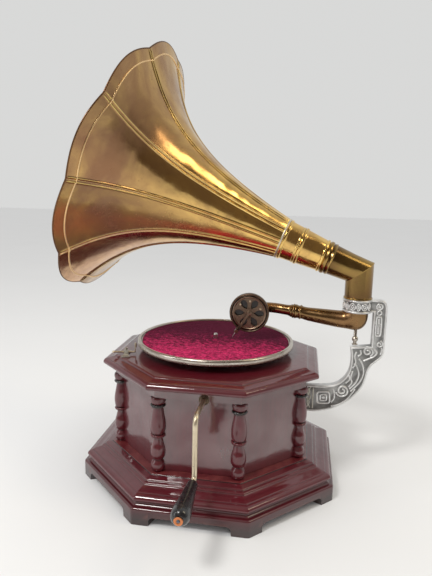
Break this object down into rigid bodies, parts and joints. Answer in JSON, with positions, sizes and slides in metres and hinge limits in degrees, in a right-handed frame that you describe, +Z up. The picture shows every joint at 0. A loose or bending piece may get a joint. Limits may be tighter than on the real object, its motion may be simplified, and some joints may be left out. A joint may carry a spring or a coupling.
{
  "type": "table gramophone",
  "caption": "Table gramophone: octagonal wooden motor cabinet with corner columns, turntable, winding crank, cast bracket, swinging tone arm and sound box, and a flower horn.",
  "frame": {"origin": "middle of the overall footprint, on the surface that the feet stand on", "axes": "+Z up, -Y towards the side with the winding crank, +X towards the cast bracket that carries the horn"},
  "size_m": [0.5003, 0.5354, 0.6776],
  "materials": {
    "mahogany": "dark red mahogany under glossy lacquer",
    "turned_mahogany": "turned mahogany, lacquered, with worn highlights",
    "horn_brass": "aged spun brass sheet, lacquered and mottled",
    "arm_brass": "dark patinated brass tube",
    "cast_metal": "antiqued cast metal with dark recesses",
    "bronze": "dark bronze finish",
    "nickel": "worn nickel plate",
    "steel": "turned steel",
    "spring_steel": "blued spring steel",
    "motor_steel": "black japanned steel plate",
    "gear_brass": "machined brass",
    "velvet": "magenta velvet",
    "ebonised": "black lacquered turned grip",
    "copper": "copper washer",
    "mica": "mica sheet",
    "leather": "brown leather pad"
  },
  "bodies": {
    "cabinet": {"foot_frame": "mahogany", "plinth": "mahogany", "side_panel_1": "mahogany", "side_panel_2": "mahogany", "side_panel_3": "mahogany", "side_panel_4": "mahogany", "side_panel_5": "mahogany", "side_panel_6": "mahogany", "side_panel_7": "mahogany", "side_panel_8": "mahogany", "column_1": "turned_mahogany", "column_2": "turned_mahogany", "column_3": "turned_mahogany", "column_4": "turned_mahogany", "column_5": "turned_mahogany", "column_6": "turned_mahogany", "column_7": "turned_mahogany", "column_8": "turned_mahogany", "frieze": "mahogany", "deck": "mahogany", "crank_escutcheon": "gear_brass", "brake_plate": "nickel", "motor_bedplate": "motor_steel", "motor_lower_plate": "motor_steel", "horn_bracket": "cast_metal", "pivot_screw": "nickel"},
    "turntable": {"platter": "nickel", "platter_felt": "velvet", "platter_spindle": "steel"},
    "second_wheel": {"second_wheel": "gear_brass"},
    "spring_barrel": {"spring_barrel": "gear_brass", "mainspring": "spring_steel"},
    "governor": {"governor_spindle": "steel", "governor_weights": "gear_brass"},
    "crank": {"crank_rod": "nickel", "grip_washer": "copper"},
    "crank_grip": {"crank_grip": "ebonised"},
    "winding_arbor": {"winding_arbor": "steel"},
    "brake_slide": {"brake_rod": "nickel", "brake_pad": "leather"},
    "tone_arm": {"tone_arm": "arm_brass"},
    "soundbox": {"arm_neck": "arm_brass", "soundbox_case": "bronze", "soundbox_face": "bronze", "diaphragm": "mica", "stylus_bar": "nickel", "needle": "steel"},
    "horn": {"horn_elbow": "horn_brass", "horn_throat": "horn_brass", "horn_petal_1": "horn_brass", "horn_petal_2": "horn_brass", "horn_petal_3": "horn_brass", "horn_petal_4": "horn_brass", "horn_petal_5": "horn_brass", "horn_petal_6": "horn_brass", "horn_petal_7": "horn_brass", "horn_petal_8": "horn_brass", "horn_petal_9": "horn_brass", "horn_petal_10": "horn_brass"}
  },
  "joints": [
    {"name": "platter_spin", "type": "hinge", "parent": "cabinet", "child": "turntable", "pos_m": [-0.018, 0.038, 0.21], "axis": [0, 0, 1], "continuous": true},
    {"name": "second_wheel_spin", "type": "hinge", "parent": "cabinet", "child": "second_wheel", "pos_m": [-0.05296, 0.00966, 0.15], "axis": [0, 0, 1], "continuous": true},
    {"name": "barrel_spin", "type": "hinge", "parent": "cabinet", "child": "spring_barrel", "pos_m": [-0.0087, -0.02127, 0.13], "axis": [0, 0, 1], "continuous": true},
    {"name": "governor_spin", "type": "hinge", "parent": "cabinet", "child": "governor", "pos_m": [-0.018, 0.0573, 0.1233], "axis": [1, 0, 0], "continuous": true},
    {"name": "crank_turn", "type": "hinge", "parent": "cabinet", "child": "crank", "pos_m": [-0.0087, -0.112, 0.1716], "axis": [0, -1, 0], "continuous": true},
    {"name": "grip_spin", "type": "hinge", "parent": "crank", "child": "crank_grip", "pos_m": [-0.0087, -0.222, 0.0861], "axis": [0, -1, 0], "continuous": true},
    {"name": "winding_turn", "type": "hinge", "parent": "cabinet", "child": "winding_arbor", "pos_m": [-0.0087, -0.02127, 0.16], "axis": [0, 0, 1], "continuous": true},
    {"name": "brake_slide", "type": "slide", "parent": "cabinet", "child": "brake_slide", "axis": [0.9707, 0.2402, 0], "range_m": [0, 0.0026]},
    {"name": "tone_arm_swing", "type": "hinge", "parent": "cabinet", "child": "tone_arm", "pos_m": [0.205, 0.038, 0.26], "axis": [0, 0, 1], "range_deg": [-12, 60]},
    {"name": "soundbox_flip", "type": "hinge", "parent": "tone_arm", "child": "soundbox", "pos_m": [0.109, 0.046, 0.27], "axis": [-0.9922, 0.081, 0.095], "range_deg": [0, 140]},
    {"name": "horn_turn", "type": "hinge", "parent": "cabinet", "child": "horn", "pos_m": [0.205, 0.038, 0.31], "axis": [0, 0, 1], "range_deg": [-45, 45]}
  ],
  "couplings": [
    {"joint": "second_wheel_spin", "follows": "platter_spin", "ratio": -0.25},
    {"joint": "barrel_spin", "follows": "platter_spin", "ratio": 0.05},
    {"joint": "governor_spin", "follows": "platter_spin", "ratio": 6.6667},
    {"joint": "winding_turn", "follows": "crank_turn", "ratio": 0.33333}
  ]
}
